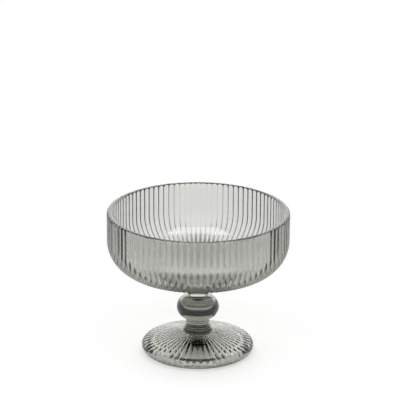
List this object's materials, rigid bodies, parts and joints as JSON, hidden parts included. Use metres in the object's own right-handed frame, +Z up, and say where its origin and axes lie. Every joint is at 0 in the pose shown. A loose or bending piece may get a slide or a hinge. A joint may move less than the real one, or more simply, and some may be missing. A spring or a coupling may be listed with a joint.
{
  "type": "short-stemmed goblet",
  "caption": "Short-stemmed goblet of grey pressed glass: wide ribbed coupe bowl, flared neck, flattened ball knop, beaded ring and ribbed round foot, to stand and hold a drink or dessert.",
  "frame": {"origin": "centre of the flat ring under the foot, level with the table that the goblet stands on", "axes": "+Z up along the axis of the glass, from the foot to the rim; X and Y are free because the goblet is round"},
  "size_m": [0.1098, 0.1098, 0.0895],
  "materials": {
    "grey_glass": "clear smoked glass, pressed in a mould and fire polished"
  },
  "bodies": {
    "root": {"bowl": "grey_glass", "neck": "grey_glass", "knop": "grey_glass", "stem_post": "grey_glass", "stem_ring": "grey_glass", "foot": "grey_glass"}
  },
  "joints": []
}
